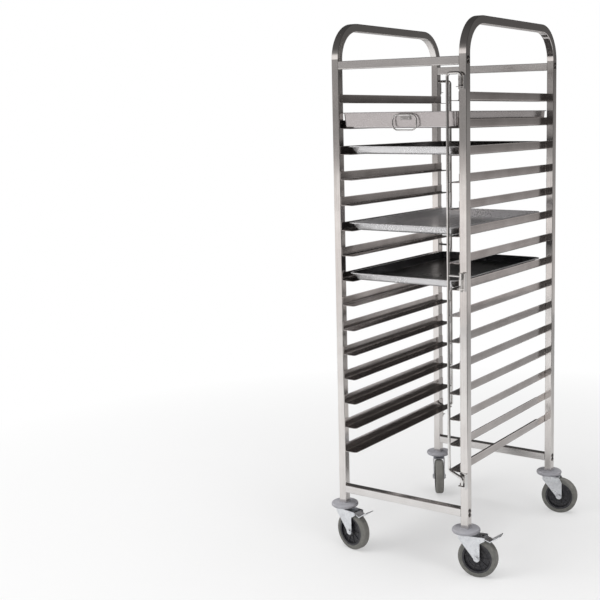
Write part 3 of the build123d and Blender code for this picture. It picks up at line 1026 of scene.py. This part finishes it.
def makeWorld():
    world = bpy.data.worlds.new("studioWorld")
    bpy.context.scene.world = world
    world.use_nodes = True
    tree = world.node_tree
    tree.nodes.clear()
    direction = addNode(tree, "TexCoord").outputs["Generated"]
    parts = addNode(tree, "SeparateXYZ", {0: direction})
    brightness = {}
    scaled = spread(tree, parts.outputs["Z"], 0.0, 1.0, -1.0, 1.0)
    for key in ("front", "right", "rear"):
        ramp = addNode(tree, "ValToRGB")
        elements = ramp.color_ramp.elements
        elements.remove(elements[1])
        for index, (height, value) in enumerate(surroundings[key]):
            place = 0.5 * (height + 1)
            element = elements[0] if index == 0 else elements.new(place)
            element.position = place
            element.color = [value * tint for tint in surroundings["tint"]] + [1.0]
        tree.links.new(scaled, ramp.inputs[0])
        brightness[key] = ramp.outputs[0]
    toRight = spread(tree, parts.outputs["X"], 0.0, 1.0, *surroundings["rightEdge"])
    toRear = spread(tree, parts.outputs["Y"], 0.0, 1.0, *surroundings["rearEdge"])
    ahead = blendColors(tree, toRight, brightness["front"], brightness["right"])
    mirrored = blendColors(tree, toRear, ahead, brightness["rear"])
    seen = addNode(tree, "LightPath").outputs["Is Camera Ray"]
    reflected = addNode(tree, "Background", {"Color": mirrored, "Strength": 1.0})
    plain = addNode(tree, "Background", {"Color": (1, 1, 1, 1), "Strength": studio["backdrop"]})
    chosen = addNode(tree, "MixShader")
    tree.links.new(seen, chosen.inputs[0])
    tree.links.new(reflected.outputs[0], chosen.inputs[1])
    tree.links.new(plain.outputs[0], chosen.inputs[2])
    output = addNode(tree, "OutputWorld")
    tree.links.new(chosen.outputs[0], output.inputs[0])


def makeFloor():
    mesh = bmesh.new()
    rings = []
    sides = studio["floorSides"]
    for radius in (*studio["floorRings"], studio["floorRadius"]):
        rings += latheRings([(radius, 0.0)], sides, Matrix.Identity(4))
    skinRings(mesh, rings)
    mesh.faces.new(list(mesh.verts)[:sides])
    data = bpy.data.meshes.new("studioFloor")
    bmesh.ops.recalc_face_normals(mesh, faces=mesh.faces)
    mesh.to_mesh(data)
    mesh.free()
    floor = bpy.data.objects.new("studioFloor", data)
    bpy.context.scene.collection.objects.link(floor)
    material, tree, shader = startMaterial("floorPaint", (studio["floorColor"],) * 3, 0.55)
    shader.inputs["Specular IOR Level"].default_value = 0.2
    mottle = grain(tree, (5.0,) * 3, 5.0)
    light = (studio["floorColor"],) * 3
    shaded = (studio["floorColor"] * 0.97,) * 3
    point = objectPoint(tree)
    # the floor gets a little painted shade behind the rack, and fades into the pale backdrop far away
    depth = addNode(tree, "SeparateXYZ", {0: point}).outputs["Y"]
    painted = blendColors(tree, mottle, light, shaded)
    behind = (studio["floorColor"] * studio["floorShadeBehind"],) * 3
    painted = blendColors(tree, spread(tree, depth, 0.0, 1.0, *studio["shadeBehindEdge"]), painted, behind)
    seen = addNode(tree, "LightPath").outputs["Is Camera Ray"]
    across = addNode(tree, "SeparateXYZ", {0: point}).outputs["X"]
    frontRight = spread(tree, combine(tree, "SUBTRACT", across, depth), 0.0, 1.0, *studio["rightEdge"])
    mirrored = combine(tree, "MULTIPLY", frontRight, combine(tree, "SUBTRACT", 1.0, seen))
    feed(tree, shader, color=blendColors(tree, mirrored, painted, (studio["floorRight"],) * 3))
    distance = addNode(tree, "VectorMath", {0: point}, operation="LENGTH").outputs["Value"]
    far = spread(tree, distance, studio["floorGlow"], 1.0, *studio["fadeEdge"])
    glow = addNode(tree, "Emission", {"Color": (1, 1, 1, 1), "Strength": 1.0})
    mixed = addNode(tree, "MixShader", {0: combine(tree, "MULTIPLY", far, seen)})
    output = tree.nodes["Material Output"]
    tree.links.new(shader.outputs[0], mixed.inputs[1])
    tree.links.new(glow.outputs[0], mixed.inputs[2])
    tree.links.new(mixed.outputs[0], output.inputs[0])
    data.materials.append(material)


def makeLight(name, power, size, place):
    data = bpy.data.lights.new(name, "AREA")
    data.shape = "RECTANGLE"
    data.size, data.size_y = size
    data.energy = power
    light = bpy.data.objects.new(name, data)
    bpy.context.scene.collection.objects.link(light)
    toward = Vector(studio["aim"]) - Vector(place)
    light.matrix_world = Matrix.Translation(place) @ toward.to_track_quat("-Z", "Y").to_matrix().to_4x4()
    light.visible_camera = False
    light.visible_glossy = False    # polished steel mirrors only the surroundings and the floor
    return light


cameraSetup = {
    "place": (1.7130, -3.1170, 1.4030),
    "yaw": 32.530,            # degrees to the left of straight back
    "pitch": 7.340,           # degrees down
    "roll": -0.778,
    "lens": 64.600,
    "sensor": 36.0,
    "shift": (-0.1333, -0.075),
}


def makeCamera():
    setup = cameraSetup
    data = bpy.data.cameras.new("rackCamera")
    data.lens = setup["lens"]
    data.sensor_width = setup["sensor"]
    data.shift_x, data.shift_y = setup["shift"]
    data.clip_end = 60.0
    camera = bpy.data.objects.new("rackCamera", data)
    bpy.context.scene.collection.objects.link(camera)
    turn = Matrix.Rotation(math.radians(setup["yaw"]), 4, "Z")
    tilt = Matrix.Rotation(math.radians(90 - setup["pitch"]), 4, "X")
    roll = Matrix.Rotation(math.radians(setup["roll"]), 4, "Z")
    camera.matrix_world = Matrix.Translation(setup["place"]) @ turn @ tilt @ roll
    bpy.context.scene.camera = camera


makeWorld()
makeFloor()
makeLight("keyLight", studio["keyPower"], studio["keySize"], studio["keyPlace"])
makeLight("topLight", studio["topPower"], studio["topSize"], studio["topPlace"])
makeLight("fillLight", studio["fillPower"], studio["fillSize"], studio["fillPlace"])
makeCamera()
bpy.context.scene.view_settings.view_transform = "Standard"
print("floor, light and camera ready")
